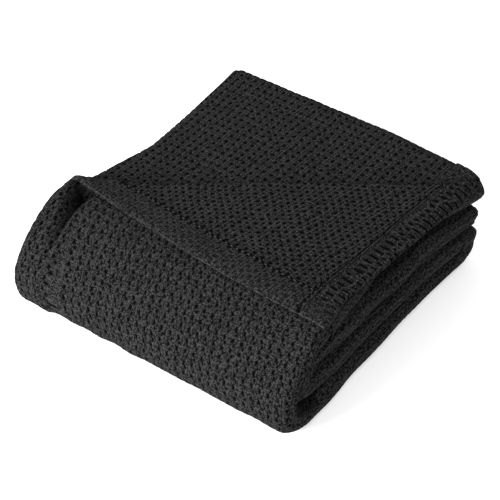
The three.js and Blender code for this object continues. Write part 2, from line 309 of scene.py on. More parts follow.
def rounded_ends(stops, first, last):
    """Adds stops past the strip's ends, where the cloth's edge is rounded. Also gives each stop's
    share of the full thickness."""
    swing = np.radians([35, 65, 85])
    share = [np.ones(len(stops))]
    parts = [stops]
    for wanted, end, order in ((first, stops[0], -1), (last, stops[-1], 1)):
        if wanted:
            more = np.repeat(end[None], len(swing), 0)
            more[:, Y] += CLOTH / 2 * np.sin(swing)
            parts.insert(0 if order < 0 else len(parts), more[::order])
            share.insert(0 if order < 0 else len(share), np.cos(swing)[::order])
    return np.concatenate(parts), np.concatenate(share)


whole_route = route(TOP_BACK, UPPER_BACK, 4)
print("the strip is", round(run_length(place(whole_route, WIDTH / 2, 0))[-1]), "mm long")

# %% [markdown]
# The camera looks at the blanket from its front right, as in the photograph. A long lens flattens the
# stack a little, which is how product pictures are taken.

# %% Camera
camera_data = bpy.data.cameras.new("camera")
camera_data.lens = 100
camera_data.sensor_width = 36
camera_data.clip_end = 50
camera = bpy.data.objects.new("camera", camera_data)
camera.location = Vector((0.765094, -0.986007, 1.195654))
camera_target = Vector((0.005795, -0.008182, 0.056444))
camera.rotation_mode = "QUATERNION"
camera.rotation_quaternion = (camera_target - camera.location).to_track_quat("-Z", "Y")
scene = bpy.context.scene
scene.collection.objects.link(camera)
scene.camera = camera
print("camera is", round((camera_target - camera.location).length, 3), "m from the blanket")

# %% [markdown]
# The cloth is nearly black, so it needs a lot of light, and the floor is nearly white. A wide soft
# light stands low at the front left. It rakes over the weave, and leaves the right end in the shade.


# %% Floor and light
def shader_tree(name):
    """A new material and its empty node tree."""
    material = bpy.data.materials.new(name)
    material.use_nodes = True
    material.node_tree.nodes.clear()
    return material, material.node_tree


def add(tree, kind, inputs=(), **settings):
    """A node with its settings, and its inputs linked or set. inputs maps a name or number to a value."""
    node = tree.nodes.new(kind)
    for name, value in settings.items():
        setattr(node, name, value)
    for key, value in dict(inputs).items():
        if isinstance(value, bpy.types.NodeSocket):
            tree.links.new(value, node.inputs[key])
        else:
            node.inputs[key].default_value = value
    return node


floor_paint, tree = shader_tree("pale floor")
paint = add(
    tree,
    "ShaderNodeBsdfPrincipled",
    {
        "Base Color": (0.9, 0.9, 0.9, 1),
        "Roughness": 0.9,
        "Specular IOR Level": 0.1,
        "Emission Color": (1, 1, 1, 1),
        "Emission Strength": 0.42,
    },
)
add(tree, "ShaderNodeOutputMaterial", {"Surface": paint.outputs[0]})

FLOOR_HALF = 6.0
floor_mesh = bpy.data.meshes.new("floor")
floor_corners = [(-1, -1), (1, -1), (1, 1), (-1, 1)]
floor_mesh.from_pydata([(FLOOR_HALF * x, FLOOR_HALF * y, 0) for x, y in floor_corners], [], [(0, 1, 2, 3)])
floor_mesh.materials.append(floor_paint)
floor = bpy.data.objects.new("floor", floor_mesh)
scene.collection.objects.link(floor)

world = bpy.data.worlds.new("studio")
world.use_nodes = True
world.node_tree.nodes["Background"].inputs["Color"].default_value = (1, 1, 1, 1)
world.node_tree.nodes["Background"].inputs["Strength"].default_value = 0.9
scene.world = world
scene.view_settings.view_transform = "Standard"


def soft_light(name, direction, distance, size, power):
    """A square light that looks at the blanket's middle from a direction."""
    light_data = bpy.data.lights.new(name, "AREA")
    light_data.shape = "SQUARE"
    light_data.size = size
    light_data.energy = power
    light = bpy.data.objects.new(name, light_data)
    light.location = Vector(direction).normalized() * distance + camera_target
    light.rotation_mode = "QUATERNION"
    light.rotation_quaternion = (camera_target - light.location).to_track_quat("-Z", "Y")
    scene.collection.objects.link(light)


soft_light("key light", direction=(-0.4, -0.88, 0.34), distance=3.0, size=1.3, power=178)
print("one key light and a bright sky")

# %% [markdown]
# The cloth is a basket weave: bundles of soft cotton yarn with a small hole at each corner of a cell.
# A bump in the material would leave the outline smooth. So the height is made here from the place on
# the cloth, in cells, and each surface's points are raised by it.


# %% The weave's height
CELL_ACROSS = 11.2
CELL_ALONG = 10.8
FRONT_CELL_ALONG = 12.6
UNEVEN = 0.5
HOLE_RELIEF = 1.15


def lumps(x, y, size, seed):
    """A smooth uneven height from -1 to 1, about size across."""
    pick = np.random.default_rng(seed)
    total = 0
    waves = 7
    for _ in range(waves):
        angle = pick.uniform(0, 2 * np.pi)
        pace = 2 * np.pi / (size * pick.uniform(0.7, 1.7))
        total = total + np.sin((x * np.cos(angle) + y * np.sin(angle)) * pace + pick.uniform(0, 2 * np.pi))
    return total / np.sqrt(waves) / 1.4


FRONT_WEAVE = (0.26, 0.43, 0.62, 0.098)
TOP_WEAVE = (0.5, 0.5, 0.2, 0.155)
REVERSE_WEAVE = (0.5, 0.5, 0.8, 0.14)


def from_line(value):
    """Distance to the nearest whole number."""
    return np.abs(value - np.round(value))


def basket(a, b, weave):
    """Height of the cloth in mm, a counted in cells across and b along. Each cell has a hole at its
    corner and a smaller one, whose place and depth are given. The last number is the hole's width."""
    second_a, second_b, depth, width = weave
    hole = ridge(from_line(a), width) * ridge(from_line(b), 0.17)
    second = depth * ridge(from_line(a - second_a), 0.1) * ridge(from_line(b - second_b), 0.15)
    between = 0.25 * ridge(from_line(a), 0.1) + 0.25 * ridge(from_line(b), 0.09)
    threads = 0.12 * np.cos(6 * np.pi * a)
    return 0.35 - HOLE_RELIEF * np.maximum(hole, second) - between + threads


print("cells of", CELL_ACROSS, "by", CELL_ALONG, "mm")

# %% [markdown]
# The cotton is dull and charcoal, made of fluffy yarn. Its colour has painted shade in the weave's holes
# and along the lines between the cells. It has painted highlights on the threads and in small glints where
# the yarn would catch the light. Where the weave strength goes above 1, it adds painted shade over the
# whole place. A picture of cloth would be quick, but it wouldn't line up with the relief. So this material
# reads the place on the cloth in cells, and its bump only adds what is finer than the mesh.


# %% Charcoal cotton
COTTON_COLOUR = (0.0132, 0.0132, 0.0135)
YARN_CONTRAST = 6.5
FUZZ_CONTRAST = 10.0
# The glints are painted highlights. The last two numbers spread and darken the painted shade in the holes.
GLINT = 0.7
BRIGHTEST = 1.0
WANDER = 0.14
HOLE_SPREAD = 2.5
HOLE_PAINTED_SHADE = 0.97


def cotton(name, weave, lightness=1.0):
    """The cotton material. weave has the place and depth of a cell's smaller hole, and the hole's width."""
    material, tree = shader_tree(name)
    second_a, second_b, depth, width = weave

    def calc(operation, first, second=0.0, third=0.0):
        node = tree.nodes.new("ShaderNodeMath")
        node.operation = operation
        for socket, value in zip(node.inputs, (first, second, third)):
            if isinstance(value, bpy.types.NodeSocket):
                tree.links.new(value, socket)
            else:
                socket.default_value = value
        return node.outputs[0]

    def line(value, half_width):
        """1 where the value is a whole number, and 0 away from it."""
        away = calc("ABSOLUTE", calc("SUBTRACT", value, calc("ROUND", value)))
        scaled = calc("DIVIDE", away, half_width)
        return calc("EXPONENT", calc("MULTIPLY", calc("MULTIPLY", scaled, scaled), -1.0))

    def spot(at_a, at_b, half_a, half_b, amount=1.0):
        """A spot in each cell."""
        across = line(calc("SUBTRACT", a, at_a), half_a)
        along = line(calc("SUBTRACT", b, at_b), half_b)
        return calc("MULTIPLY", calc("MULTIPLY", across, along), amount)

    def noise(size, detail=2.0):
        place_now = add(tree, "ShaderNodeTexCoord").outputs["Object"]
        node = add(tree, "ShaderNodeTexNoise", {"Vector": place_now, "Scale": 1 / size, "Detail": detail})
        return calc("SUBTRACT", node.outputs["Fac"], 0.5)

    weave_map = add(tree, "ShaderNodeUVMap", uv_map="weave")
    cell = add(tree, "ShaderNodeSeparateXYZ", {0: weave_map.outputs[0]})
    strength = add(tree, "ShaderNodeAttribute", attribute_name="weave_strength_and_painted_shade").outputs["Fac"]
    a = calc("ADD", cell.outputs[0], calc("MULTIPLY", noise(0.009), WANDER))
    b = calc("ADD", cell.outputs[1], calc("MULTIPLY", noise(0.008), WANDER))
    # Painted shade: the holes and the lines between cells darken the colour, where the mesh is too coarse
    # to shade them.
    hole = calc("MAXIMUM", spot(0, 0, width, 0.19), spot(second_a, second_b, 0.1, 0.15, depth))
    hole = calc("MINIMUM", calc("MULTIPLY", hole, HOLE_SPREAD), 1.0)
    cell_line_shade = calc("MAXIMUM", calc("MULTIPLY", line(a, 0.07), 0.25), calc("MULTIPLY", line(b, 0.06), 0.35))
    # Painted highlights: the glints and the threads' wave lighten the colour.
    glint = calc("MAXIMUM", spot(0.25, -0.15, 0.11, 0.2), spot(-0.25, 0.1, 0.1, 0.2, 0.7))
    glint = calc("MAXIMUM", glint, spot(0.5, 0.5 + 0.3 * depth, 0.12, 0.14, 0.6))
    # Painted shade: a weave strength above 1 darkens the whole colour there.
    dark = calc("MULTIPLY", calc("MAXIMUM", hole, cell_line_shade), calc("MINIMUM", strength, 1.0))
    dark = calc("MINIMUM", calc("MAXIMUM", dark, calc("SUBTRACT", strength, 1.0)), 1.0)
    thread_wave = calc("COSINE", calc("MULTIPLY", a, 6 * math.pi))
    fuzz = noise(0.0014, 3.0)
    yarn = noise(0.0022)
    patch = noise(0.05)
    light = calc("MULTIPLY", yarn, YARN_CONTRAST)
    light = calc("ADD", light, calc("MULTIPLY", fuzz, FUZZ_CONTRAST))
    light = calc("ADD", light, calc("MULTIPLY", patch, 0.3))
    light = calc("ADD", light, calc("MULTIPLY", thread_wave, 0.35))
    light = calc("ADD", light, calc("MULTIPLY", calc("MULTIPLY", glint, strength), GLINT))
    tone = calc("EXPONENT", calc("MINIMUM", light, BRIGHTEST))
    tone = calc("MULTIPLY", tone, calc("SUBTRACT", 1.0, calc("MULTIPLY", dark, HOLE_PAINTED_SHADE)))
    colour = add(
        tree,
        "ShaderNodeVectorMath",
        {0: [lightness * channel for channel in COTTON_COLOUR], "Scale": tone},
        operation="SCALE",
    ).outputs[0]
    height = calc("MULTIPLY", dark, -0.6)
    height = calc("ADD", height, calc("MULTIPLY", thread_wave, 0.12))
    height = calc("ADD", height, calc("MULTIPLY", fuzz, 0.7))
    height = calc("ADD", height, calc("MULTIPLY", yarn, 1.2))
    bump = add(tree, "ShaderNodeBump", {"Height": height, "Strength": 0.8, "Distance": 0.0012})
    cloth = add(
        tree,
        "ShaderNodeBsdfPrincipled",
        {
            "Base Color": colour,
            "Roughness": 0.95,
            "Specular IOR Level": 0.03,
            "Sheen Weight": 0.008,
            "Sheen Roughness": 0.5,
            "Normal": bump.outputs[0],
        },
    )
    add(tree, "ShaderNodeOutputMaterial", {"Surface": cloth.outputs[0]})
    return material


FRONT_COTTON = cotton("charcoal cotton", FRONT_WEAVE)
TOP_COTTON = cotton("charcoal cotton on top", TOP_WEAVE)
REVERSE_COTTON = cotton("charcoal cotton reverse", REVERSE_WEAVE, 1.06)
# The cords' cotton is drawn lighter, a painted highlight where their raised line catches the light.
CORD_COTTON_PAINTED_LIGHT = cotton("charcoal cotton cord with painted highlight", FRONT_WEAVE, 1.35)
for finish in (FRONT_COTTON, TOP_COTTON, REVERSE_COTTON, CORD_COTTON_PAINTED_LIGHT):
    print("material", finish.name, "with", len(finish.node_tree.nodes), "nodes")

# %% [markdown]
# Each surface of the blanket is a stretch of the same cloth. A plane with modifiers could be bent to
# each one. A grid of worked-out points is chosen, since it knows its place on the weave. This cell turns
# a grid into a piece: faces, weave, material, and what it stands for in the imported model.


# %% From grids to pieces
def grid_faces(rows, columns, keep=None):
    """Quads of a grid of points, and only those with all four corners kept."""
    number = np.arange(rows * columns).reshape(rows, columns)
    near, far = number[:-1], number[1:]
    faces = np.stack([near[:, :-1], near[:, 1:], far[:, 1:], far[:, :-1]], -1).reshape(-1, 4)
    if keep is not None:
        faces = faces[keep.reshape(-1)[faces].all(1)]
    return faces


def ring_faces(number):
    """Quads between closed rings of point numbers, one ring in each row."""
    following = np.roll(number, -1, 1)
    return np.stack([number[:-1], following[:-1], following[1:], number[1:]], -1).reshape(-1, 4)


def make_piece(name, points, faces, cells, strength, material):
    """A smooth mesh in metres from points in mm, none of them under the floor. cells is each point's place
    on the weave. strength is the weave's strength there, and above 1 a painted shade over it."""
    used, compact = np.unique(faces, return_inverse=True)
    faces = compact.reshape(faces.shape)
    points = points.reshape(-1, 3)
    strength = np.broadcast_to(np.ravel(strength), len(points))[used]
    points = points[used]
    cells = cells.reshape(-1, 2)[used]
    mesh = bpy.data.meshes.new(name)
    points[:, 2] = np.maximum(points[:, 2], 0)
    mesh.from_pydata(points * MM, [], faces)
    layer = mesh.uv_layers.new(name="weave")
    layer.data.foreach_set("uv", cells[faces.reshape(-1)].astype(np.float32).reshape(-1))
    attribute = mesh.attributes.new("weave_strength_and_painted_shade", "FLOAT", "POINT")
    attribute.data.foreach_set("value", np.ascontiguousarray(strength, dtype=np.float32))
    mesh.shade_smooth()
    mesh.materials.append(material)
    piece = bpy.data.objects.new(name, mesh)
    scene.collection.objects.link(piece)
    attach(piece, "root")
    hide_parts("blanket")
    print(f"{name}: {2 * len(faces)} triangles")
    return piece


def layer_offset(layer):
    """From the strip's middle to the middle of a layer, positive outwards."""
    return ((LAYERS + 1) / 2 - layer) * PITCH


FOLD_RADIUS = OUTERMOST + CLOTH / 2
TUCK_IN = 28.0
print("the right end's folds have a radius of", FOLD_RADIUS, "mm")

# %% [markdown]
# The corner of the outermost layer is turned back over the top. It could be bent by a cloth simulation,
# but that is hard to steer, so it bends round a roll along the crease. The roll is wide open at the left
# hem, which is stiff, and nearly closed further along.

# %% The crease and its roll
TIP = np.array([WIDTH + 1, 40.0])
FRONT_BOW = 7.0
CREASE_RADIUS = PITCH / 2
ROLL_OPEN = 1.2
ROLL_REACH = 52.0
TIP_DROOP = 4.0
EDGE_CURL = 0.6
SHOULDER_X = WIDTH - 12
SHOULDER_RADIUS = 17.0
tip_s, tip_q = crease_distances(*TIP)


def roll_radius(distance):
    """Radius of the roll at a distance from the crease's left end."""
    return CREASE_RADIUS + ROLL_OPEN * np.exp(-((distance / ROLL_REACH) ** 2))


print("crease", round(crease_length), "mm long, tip", round(tip_q), "mm from it")

# %% [markdown]
# Under the detailed surfaces lies the whole folded sheet, with all its layers and folds. It shows
# between the layers, at the left end and at the back. A solid block would be cheaper, but its gaps would
# be dark lines only. So a line is drawn across the strip, back and forth through all six layers.

# %% The line of the folded sheet
FOLDS = [(1, 6, True, 12), (6, 5, False, 6), (5, 2, True, 8), (2, 3, False, 6), (3, 4, True, 6)]
THIN = 0.2
FOLD_INSET = 2.6
BASE_STEP = 5.6
BASE_ACROSS = [9, 15, 21, 27, 31, 34, 36, 38, 41, 70, 110, 160, 210, 260, 325]
base_stops, fullness = rounded_ends(route(TOP_BACK, UPPER_BACK, BASE_STEP), True, True)
on_top = (base_stops[:, FACE_Z] > 0.999) & (base_stops[:, Z] > Z_TOP - 1)
on_front = (base_stops[:, Y] < Y_FRONT) & ~on_top


def outer_edge(stops, top):
    """Where the outermost layer starts: at its hem, or on top just inside the crease."""
    share = (stops[:, Y] - CREASE_LEFT[1]) / (CREASE_RIGHT[1] - CREASE_LEFT[1])
    crease_x = CREASE_LEFT[0] + share * (CREASE_RIGHT[0] - CREASE_LEFT[0])
    inside = (roll_radius(share * crease_length) + 1) / along_crease[1]
    cut = np.clip(crease_x + inside, stops[:, LEFT], stops[:, RIGHT] - STRIP)
    return np.where(top, cut, stops[:, LEFT])


def sheet_line(stops, top):
    """The sheet's middle line across the strip: x, n, the normal, and half the cloth on each side.
    Where a detailed surface covers the sheet it is thin on that side, so that it stays hidden."""
    left, right = stops[:, LEFT], stops[:, RIGHT]
    edge = outer_edge(stops, top)
    rows = []
    half = CLOTH / 2

    def point(x, n, angle, above=half, below=half):
        ones = np.ones(len(stops))
        values = (x, n, -math.sin(angle), math.cos(angle), above, below)
        rows.append([ones * value for value in values])

    share = (right - edge) / (right - left)
    for x in [0, 3, *BASE_ACROSS]:
        point(edge + x * share, OUTERMOST, 0, THIN)
    for start_layer, end_layer, at_right, steps in FOLDS:
        start, end = layer_offset(start_layer), layer_offset(end_layer)
        radius = abs(end - start) / 2
        reach = OUTERMOST if at_right else radius
        out = 1 if at_right else -1
        centre = (right if at_right else left + 1) - out * (reach + half)
        turn = np.sign(end - start) * out
        covered = start_layer == 1
        top_fold = start_layer == 2
        for step in range(steps + 1):
            swing = math.pi * step / steps
            inset = FOLD_INSET * math.sin(swing) if covered else 0
            x = centre + out * (radius - inset) * math.sin(swing)
            n = (start + end) / 2 + (start - end) / 2 * (1 - inset / radius) * math.cos(swing)
            angle = (0 if at_right else math.pi) + turn * swing
            below = np.where(top, THIN, half) if top_fold else half
            point(x, n, angle, THIN if covered else half, below - inset * 0.4)
        back_again = [x for x in BASE_ACROSS if x > 13]
        xs = left[:, None] + np.array(back_again[::-1] if at_right else back_again)
        if at_right:
            xs = xs[:, xs[0] < WIDTH - 35]
        below = np.where(top, THIN, half) if end_layer == 2 else half
        if covered:
            point(right - FOLD_RADIUS - TUCK_IN, end, math.pi, THIN)
        for column in range(xs.shape[1]):
            point(xs[:, column], end, math.pi if at_right else 0, half, below)
    point(left + 12, end, math.pi)
    point(left + 9, end, math.pi)
    return np.array(rows).transpose(1, 2, 0)


x, n, normal_x, normal_n, above, below = sheet_line(base_stops, on_top)
print("a line of", x.shape[1], "points at each of", len(base_stops), "stops")

# %% [markdown]
# The real sheet is one piece of cloth, so it is one closed body. A curve's bevel could sweep the line
# too, but with the same outline at every stop, and this one has to grow thin where the top is covered.
# So the line gets two sides, and both are swept along the stops and closed at the ends.

# %% The body of the folded sheet
front_down = run_length(place(base_stops, WIDTH / 2, STRIP / 2))
front_down = front_down - front_down[np.argmax(on_front)]
above = above * fullness[:, None]
below = below * fullness[:, None]


def closed_ribbon(stops, x, n, normal_x, normal_n, above, below):
    """Points and faces of a closed body round a line that is swept along the stops."""
    upper = place(stops, x + normal_x * above, n + normal_n * above)
    lower = place(stops, x - normal_x * below, n - normal_n * below)
    points = np.concatenate([upper, lower[:, ::-1]], 1)
    rows, ring = points.shape[:2]
    number = np.arange(rows * ring).reshape(rows, ring)
    half_ring = ring // 2
    caps = []
    for row, order in ((0, 1), (rows - 1, -1)):
        near = number[row, :half_ring]
        far = number[row, half_ring:][::-1]
        cap = np.stack([near[:-1], far[:-1], far[1:], near[1:]], -1)
        caps.append(cap[:, ::order])
    return points, np.concatenate([ring_faces(number), *caps])


points, faces = closed_ribbon(base_stops, x, n, normal_x, normal_n, above, below)
around = np.concatenate([x, x[:, ::-1]], 1)
down = np.broadcast_to(front_down[:, None], around.shape)
cells = np.stack([around / CELL_ACROSS, down / CELL_ALONG], -1)
folded_sheet = make_piece("folded_sheet", points, faces, cells, 0.6, FRONT_COTTON)

# %% [markdown]
# The outermost layer is what one sees of the stack. Its face could be cut out of the whole sheet, but
# it needs far smaller faces than the layers inside. So it has a line of its own: from behind the left
# hem, round the hem's edge, over the face, round the right fold and in between the layers.

# %% The line of the outermost layer
EDGE_RADIUS = (CLOTH + HEM_RISE) / 2
FOLD_SQUARENESS = 1.25


def wrap_line(step, edge_back):
    """The outer face's line from behind the left edge, or from the right end's flat part where edge_back
    is 0, to behind the right fold. It gives x, n, the normal, and which edge a point's x belongs to."""
    x, n, normal_x, normal_n, from_right = [], [], [], [], []

    def put(xs, ns, nxs, nns, right_share):
        for values, new in zip((x, n, normal_x, normal_n, from_right), (xs, ns, nxs, nns, right_share)):
            values.append(np.broadcast_to(new, np.shape(xs)))

    if edge_back:
        flat = np.arange(edge_back, EDGE_RADIUS, -step)
        put(flat, OUTERMOST - CLOTH / 2, 0.0, -1.0, 0.0)
        swing = np.linspace(-np.pi / 2, np.pi / 2, round(np.pi * EDGE_RADIUS / (0.6 * step)) + 1)
        middle = OUTERMOST + HEM_RISE / 2
        out, up = EDGE_RADIUS * np.cos(swing), EDGE_RADIUS * np.sin(swing)
        put(EDGE_RADIUS - out, middle + up, -np.cos(swing), np.sin(swing), 0.0)
        start = EDGE_RADIUS
    else:
        start = WIDTH - FOLD_RADIUS - TUCK_IN
    end = WIDTH - FOLD_RADIUS
    flat = np.linspace(start, end, round((end - start) / step) + 1)[1:]
    put(flat, OUTERMOST + CLOTH / 2, 0.0, 1.0, (flat - start) / (end - start) if edge_back else 1.0)
    swing = np.linspace(np.pi / 2, -np.pi / 2, round(np.pi * FOLD_RADIUS / step) + 1)[1:]
    fold_n = np.sign(np.sin(swing)) * np.abs(np.sin(swing)) ** (1 / FOLD_SQUARENESS)
    put(end + FOLD_RADIUS * np.cos(swing), FOLD_RADIUS * fold_n, np.cos(swing), np.sin(swing), 1.0)
    flat = np.arange(end - step, end - TUCK_IN, -step)
    put(flat, -FOLD_RADIUS, 0.0, -1.0, 1.0)
    return [np.concatenate(values) for values in (x, n, normal_x, normal_n, from_right)]


def edge_shift(stops, from_right):
    """How far the strip's edges lie from 0 and WIDTH, for each stop and each point of the line."""
    left, right = stops[:, [LEFT]], stops[:, [RIGHT]]
    return left * (1 - from_right) + (right - WIDTH) * from_right


def left_hem(line_x):
    """Height of the left hem over the cloth, and the groove of its stitches."""
    return HEM_RISE * (1 - smooth(HEM - 2, HEM + 0.6, line_x)) - 1.2 * ridge(line_x - HEM - 1.4, 1.3)


print("the right fold's power is", FOLD_SQUARENESS, "where a half circle's is 1")

# %% [markdown]
# The front is the outermost layer going round the stack's thick front turn. It is the brightest face.
# A bump in the material could draw the weave, but in the low light it would look printed on. So the
# line above is swept in steps of about a millimetre, and the weave is real relief.

# %% The front
FRONT_STEP = 1.2
FRONT_OVERLAP = 14.0
FRONT_BEHIND_EDGE = 14.0
FRONT_SKEW = 0.16
# The last four numbers place and set painted shade: in the cup, on the left hem's rounded edge and on the
# right fold's far side.
CUP_SHADE_X = 34.0
CUP_PAINTED_SHADE = 1.3
RIM_PAINTED_SHADE = 0.45
FOLD_PAINTED_SHADE = 0.6
back_part = route(TOP_MIDDLE, TOP_FRONT, FRONT_STEP)
back_part = back_part[back_part[:, Y] < Y_FRONT + FRONT_OVERLAP][:-1]
floor_part = route(FLOOR_FRONT, FLOOR_BACK, FRONT_STEP)
floor_part = floor_part[floor_part[:, Y] < Y_FRONT + FRONT_OVERLAP][1:]
front_stops = np.concatenate([back_part, route(TOP_FRONT, FLOOR_FRONT, FRONT_STEP), floor_part])
down = run_length(place(front_stops, WIDTH / 2, STRIP / 2))
down = (down - down[len(back_part)])[:, None]
line_x, line_n, normal_x, normal_n, from_right = wrap_line(FRONT_STEP, FRONT_BEHIND_EDGE)
x = line_x + edge_shift(front_stops, from_right)
from_edge = run_length(np.stack([line_x, line_n], -1))
from_edge = from_edge - from_edge[np.argmax(normal_n >= 0)]
on_face = (normal_n > 0.99) & (line_x > EDGE_RADIUS)
n = line_n + np.where(on_face & (line_x < WIDTH / 2), left_hem(line_x), 0)
skew = FRONT_SKEW * down * smooth(HEM, 2 * HEM, line_x)
a = (from_edge - skew) / CELL_ACROSS + 0.12 * lumps(from_edge, down, 60, 1)
b = down / FRONT_CELL_ALONG + 0.15 * lumps(from_edge, down, 70, 2)
in_hem = on_face & (line_x < HEM)
# Painted shade: the cup below the crease is darkened through a weave strength above 1, most near the crease
# and up to the hem's inner side.
shade_width = 4 + 29 * smooth(75, 0, down)
cup_shade = (0.4 + 0.6 * smooth(60, 0, down)) * ridge(np.maximum(0, CUP_SHADE_X - line_x), shade_width)
cup_shade = cup_shade * (line_x < HEM + 1)
cup_shade = cup_shade * (1 - smooth(45, 120, down)) * smooth(-14, 0, down)
relief = basket(a, b, FRONT_WEAVE) * np.where(in_hem, 0.6, 1.0)
uneven = UNEVEN * lumps(from_edge, down, 45, 3) * smooth(0, 30, from_edge)
at_back = np.where(normal_n < -0.5, 0.4, 1.0)
raise_by = relief * at_back + uneven - smooth(0.2, 0.9, -normal_n) * from_right
points = place(front_stops, x + normal_x * raise_by, n + normal_n * raise_by)
s, q = crease_distances(x, front_stops[:, [Y]])
behind_crease = (down < 0) & (q < roll_radius(s) - 1)
# Painted shade: the left hem's rounded edge, and the right fold's far side where it meets the folds inside,
# are darkened through a weave strength above 1.
rim_shade = RIM_PAINTED_SHADE * smooth(1.0, 0.5, normal_n) * (line_x < EDGE_RADIUS + 0.1)
rim_shade = rim_shade + FOLD_PAINTED_SHADE * smooth(0.0, -0.6, normal_n) * (from_right > 0.99)
make_piece(
    "front",
    points,
    grid_faces(*x.shape, ~behind_crease)[:, ::-1],
    np.stack([a, b], -1),
    np.maximum(np.where(in_hem, 0.8, 1.0) + CUP_PAINTED_SHADE * cup_shade * on_face, 1 + rim_shade),
    FRONT_COTTON,
)

# %% [markdown]
# The right end shows one thick fold for each run of the strip. It is the outermost layer bending
# round the others, with soft long dents and a few thin creases where the layers inside press against
# it. They could be sculpted. Waves and ridges along the fold do it by number, the same each time.

# %% The right end's folds
END_STEP = 1.9
END_RELIEF = 0.75
DENT = 1.3
WOBBLE = 6
PRESSED = ((-9, 0.05, 0.55), (8, 0.3, 0.95), (0, 0.6, 1.0))
PRESSED_DEPTH = 1.5


def right_end(name, stops, fullness, seed):
    """The fold of the outermost layer along some stops of the route. PRESSED has each thin crease's
    place round the fold, and its start and end as shares of the length."""
    line_x, line_n, normal_x, normal_n, _ = wrap_line(END_STEP, 0)
    x = line_x + stops[:, [RIGHT]] - WIDTH
    along = run_length(place(stops, WIDTH - FOLD_RADIUS, 0))[:, None]
    round_it = run_length(np.stack([line_x, line_n], -1))
    middle = round_it[np.argmin(np.abs(line_n) - line_x * 1e-3)]
    wobble = WOBBLE * lumps(along, 0 * along, 150, seed)
    creases = 0
    span = along / along[-1]
    for at, start, end in PRESSED:
        reach = smooth(start, start + 0.15, span) * (1 - smooth(end - 0.15, end, span))
        creases = creases - PRESSED_DEPTH * reach * ridge(round_it - middle - at - wobble, 1.7)
    a = round_it / CELL_ACROSS + 0.2 * lumps(along, round_it, 60, seed + 1)
    b = along / CELL_ALONG + 0.2 * lumps(along, round_it, 60, seed + 2)
    soft = DENT * lumps(along / 2.5, round_it, 30, seed + 3) * np.maximum(normal_x, 0)
    relief = END_RELIEF * basket(a, b, FRONT_WEAVE)
    raise_by = relief + soft + creases - CLOTH / 2 * (1 - fullness[:, None])
    raise_by = raise_by - smooth(0.2, 0.9, np.abs(normal_n))
    raise_by = raise_by - 0.4 * (normal_n < -0.99) * smooth(12, TUCK_IN, WIDTH - FOLD_RADIUS - line_x)
    points = place(stops, x + normal_x * raise_by, line_n + normal_n * raise_by)
    cells = np.stack(np.broadcast_arrays(a, b), -1)
    make_piece(name, points, grid_faces(*points.shape[:2])[:, ::-1], cells, 0.8, FRONT_COTTON)


lower_stops = route(FLOOR_FRONT, UPPER_BACK, END_STEP)
lower_stops, lower_fullness = rounded_ends(lower_stops[4:], False, True)
right_end("right_folds_inside", lower_stops, lower_fullness, seed=20)
upper_stops, upper_fullness = rounded_ends(route(TOP_BACK, TOP_FRONT, END_STEP), True, False)
right_end("right_fold_on_top", upper_stops, upper_fullness, seed=30)

# %% [markdown]
# Behind the turned corner, the layer under it shows. Its left edge is a fold, and its back edge is
# hemmed. A plane with a bump would do for a flat cloth, but the light grazes this face and each hole of
# the weave is a dark dot in it. So it is relief too, and only as far as it can be seen.

# %% The layer under the turned corner
TOP_STEP = 1.2
UNDER = layer_offset(2)
SMALL_FOLD = PITCH / 2 + CLOTH / 2
UNDER_CREASE = 16.0
UNDER_BACK = 10
OVERLAP_STOPS = 7
TOP_CELL_ACROSS = 11.0
top_stops, top_fullness = rounded_ends(route(TOP_BACK, TOP_FRONT, TOP_STEP), True, False)
more = route(TOP_FRONT, FLOOR_FRONT, TOP_STEP)
top_stops = np.concatenate([top_stops, more[1 : 1 + OVERLAP_STOPS]])
top_fullness = np.concatenate([top_fullness, np.ones(OVERLAP_STOPS)])
back_line = np.arange(UNDER_BACK, SMALL_FOLD, -TOP_STEP)
swing = np.linspace(-np.pi / 2, np.pi / 2, 12)
top_line = np.arange(SMALL_FOLD, WIDTH - FOLD_RADIUS, TOP_STEP)
line_x = 1 + np.concatenate([back_line, SMALL_FOLD * (1 - np.cos(swing)), top_line[1:]])
line_n = np.concatenate(
    [
        np.full(len(back_line), UNDER - PITCH - CLOTH / 2),
        UNDER - PITCH / 2 + SMALL_FOLD * np.sin(swing),
        np.full(len(top_line) - 1, UNDER + CLOTH / 2),
    ]
)
normal_x = np.concatenate([0 * back_line, -np.cos(swing), 0 * top_line[1:]])
normal_n = np.concatenate([0 * back_line - 1, np.sin(swing), 0 * top_line[1:] + 1])
x = line_x + top_stops[:, [LEFT]]
down = run_length(place(top_stops, WIDTH / 3, STRIP / 2))[:, None]
s, q = crease_distances(x, top_stops[:, [Y]])
seen = q < roll_radius(s) + UNDER_CREASE
a = x / TOP_CELL_ACROSS + 0.1 * lumps(x, down, 60, 41)
b = down / CELL_ALONG + 0.1 * lumps(x, down, 60, 42)
in_hem = down < HEM
hem_shape = 0.6 * (1 - smooth(HEM - 2, HEM + 0.6, down)) - 0.6 * ridge(down - HEM - 1.2, 1.3)
hem_strength = 0.9 - 0.5 * smooth(120, 320, x)
relief = basket(a, b, TOP_WEAVE) * np.where(in_hem, hem_strength, 1.0)
uneven = UNEVEN * lumps(x, down, 50, 43)
raise_by = relief + uneven * smooth(0, 20, line_x) + np.where(normal_n > 0.99, hem_shape, 0)
raise_by = raise_by - CLOTH / 2 * (1 - top_fullness[:, None])
# Painted shade: the back edge and the left fold, where the cloth rolls away from the light, are darkened
# through a weave strength above 1.
rim_shade = RIM_PAINTED_SHADE * np.maximum(smooth(10, 2, down), smooth(1.0, 0.5, normal_n) * (line_x < UNDER_BACK))
points = place(top_stops, x + normal_x * raise_by, line_n + normal_n * raise_by)
make_piece(
    "under_layer",
    points,
    grid_faces(*x.shape, seen)[:, ::-1],
    np.stack([a, b], -1),
    np.maximum(np.where(in_hem, hem_strength, 1.0), 1 + rim_shade),
    TOP_COTTON,
)

